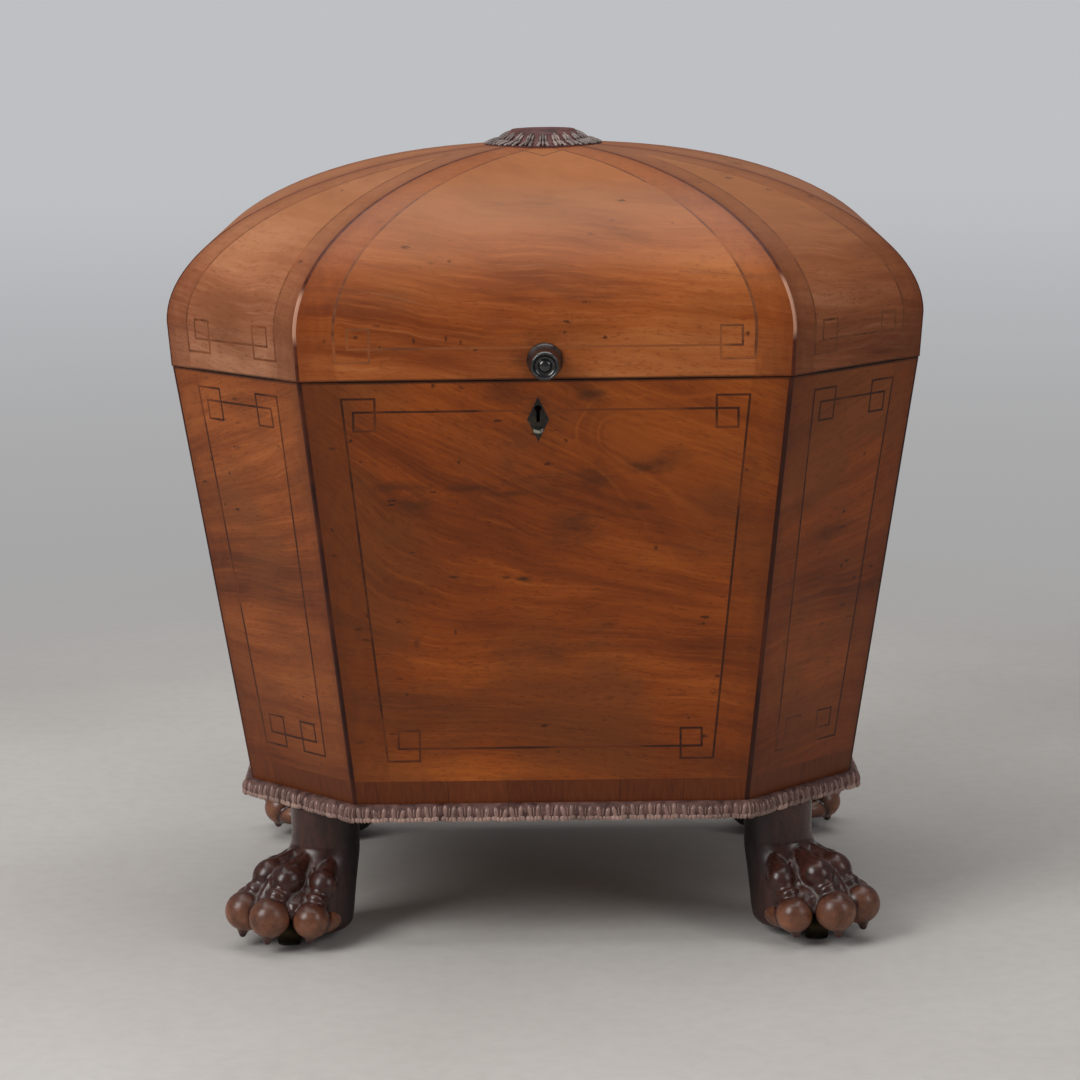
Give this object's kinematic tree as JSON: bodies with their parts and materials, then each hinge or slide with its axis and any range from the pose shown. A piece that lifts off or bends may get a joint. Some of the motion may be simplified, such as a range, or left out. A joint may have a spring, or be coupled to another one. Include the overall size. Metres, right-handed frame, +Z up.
{
  "type": "cellarette",
  "caption": "Octagonal tapering wine cellarette on carved lion paw feet with hidden castors, domed hinged lid with a crown boss, box lock and a lead-lined bottle rack.",
  "frame": {"origin": "centre of the bounding box in plan, on the floor under the castors", "axes": "+Z up, -Y towards the front with the keyhole, +X to the right seen from the front"},
  "size_m": [0.6678, 0.5728, 0.7143],
  "materials": {
    "mahogany_case": "polished",
    "mahogany_lid": "polished",
    "ebony_inlay": "polished",
    "dark_banding": "polished",
    "carved_mahogany": "waxed and dusty",
    "carved_feet": "waxed and worn",
    "boss_wood": "dusty",
    "ebonised_knob": "glossy",
    "rough_wood": "unfinished",
    "lead": "dull sheet lead",
    "brass": "aged",
    "iron": "dull"
  },
  "bodies": {
    "case": {"case_front": "mahogany_case", "case_front_right": "mahogany_case", "case_right": "mahogany_case", "case_back_right": "mahogany_case", "case_back": "mahogany_case", "case_back_left": "mahogany_case", "case_left": "mahogany_case", "case_front_left": "mahogany_case", "case_line_inlay": "ebony_inlay", "case_corner_strips": "dark_banding", "case_crossbanding": "dark_banding", "base_moulding": "carved_mahogany", "bottom_board": "rough_wood", "escutcheon": "ebony_inlay", "hinge_case_leaves": "brass", "hinge_pins": "iron", "hinge_case_screws": "iron", "lock_case": "brass", "lock_screws": "iron", "lead_lining": "lead", "rack_long_board_front": "rough_wood", "rack_long_board_back": "rough_wood", "rack_cross_board_left": "rough_wood", "rack_cross_board_middle": "rough_wood", "rack_cross_board_right": "rough_wood", "castor_plates": "brass", "castor_screws": "iron", "foot_screws": "iron", "paw_foot_front_right": "carved_feet", "paw_foot_back_right": "carved_feet", "paw_foot_back_left": "carved_feet", "paw_foot_front_left": "carved_feet"},
    "lid": {"lid_front": "mahogany_lid", "lid_front_right": "mahogany_lid", "lid_right": "mahogany_lid", "lid_back_right": "mahogany_lid", "lid_back": "mahogany_lid", "lid_back_left": "mahogany_lid", "lid_left": "mahogany_lid", "lid_front_left": "mahogany_lid", "lid_line_inlay": "ebony_inlay", "lid_corner_strips": "ebony_inlay", "lid_crown_boss": "boss_wood", "lid_crown_block": "rough_wood", "crown_boss_peg": "rough_wood", "lid_knob": "ebonised_knob", "hinge_lid_leaves": "brass", "hinge_lid_screws": "iron", "lock_link_plate": "brass", "link_plate_screws": "iron"},
    "lock_bolt": {"lock_bolt": "iron"},
    "castor_horn_front_right": {"castor_horn_front_right": "brass"},
    "castor_wheel_front_right": {"castor_wheel_front_right": "brass"},
    "castor_horn_back_right": {"castor_horn_back_right": "brass"},
    "castor_wheel_back_right": {"castor_wheel_back_right": "brass"},
    "castor_horn_back_left": {"castor_horn_back_left": "brass"},
    "castor_wheel_back_left": {"castor_wheel_back_left": "brass"},
    "castor_horn_front_left": {"castor_horn_front_left": "brass"},
    "castor_wheel_front_left": {"castor_wheel_front_left": "brass"}
  },
  "joints": [
    {"name": "lid_hinge", "type": "hinge", "parent": "case", "child": "lid", "pos_m": [0, 0.28303, 0.5184], "axis": [-1, 0, 0], "range_deg": [0, 95]},
    {"name": "lock_bolt_slide", "type": "slide", "parent": "case", "child": "lock_bolt", "axis": [1, 0, 0], "range_m": [0, 0.007]},
    {"name": "castor_swivel_front_right", "type": "hinge", "parent": "case", "child": "castor_horn_front_right", "pos_m": [0.2368, -0.17368, 0.03], "axis": [0, 0, 1], "continuous": true},
    {"name": "castor_roll_front_right", "type": "hinge", "parent": "castor_horn_front_right", "child": "castor_wheel_front_right", "pos_m": [0.2368, -0.18368, 0.016], "axis": [1, 0, 0], "continuous": true},
    {"name": "castor_swivel_back_right", "type": "hinge", "parent": "case", "child": "castor_horn_back_right", "pos_m": [0.2368, 0.19734, 0.03], "axis": [0, 0, 1], "continuous": true},
    {"name": "castor_roll_back_right", "type": "hinge", "parent": "castor_horn_back_right", "child": "castor_wheel_back_right", "pos_m": [0.2368, 0.18734, 0.016], "axis": [1, 0, 0], "continuous": true},
    {"name": "castor_swivel_back_left", "type": "hinge", "parent": "case", "child": "castor_horn_back_left", "pos_m": [-0.2368, 0.19734, 0.03], "axis": [0, 0, 1], "continuous": true},
    {"name": "castor_roll_back_left", "type": "hinge", "parent": "castor_horn_back_left", "child": "castor_wheel_back_left", "pos_m": [-0.2368, 0.18734, 0.016], "axis": [1, 0, 0], "continuous": true},
    {"name": "castor_swivel_front_left", "type": "hinge", "parent": "case", "child": "castor_horn_front_left", "pos_m": [-0.2368, -0.17368, 0.03], "axis": [0, 0, 1], "continuous": true},
    {"name": "castor_roll_front_left", "type": "hinge", "parent": "castor_horn_front_left", "child": "castor_wheel_front_left", "pos_m": [-0.2368, -0.18368, 0.016], "axis": [1, 0, 0], "continuous": true}
  ]
}
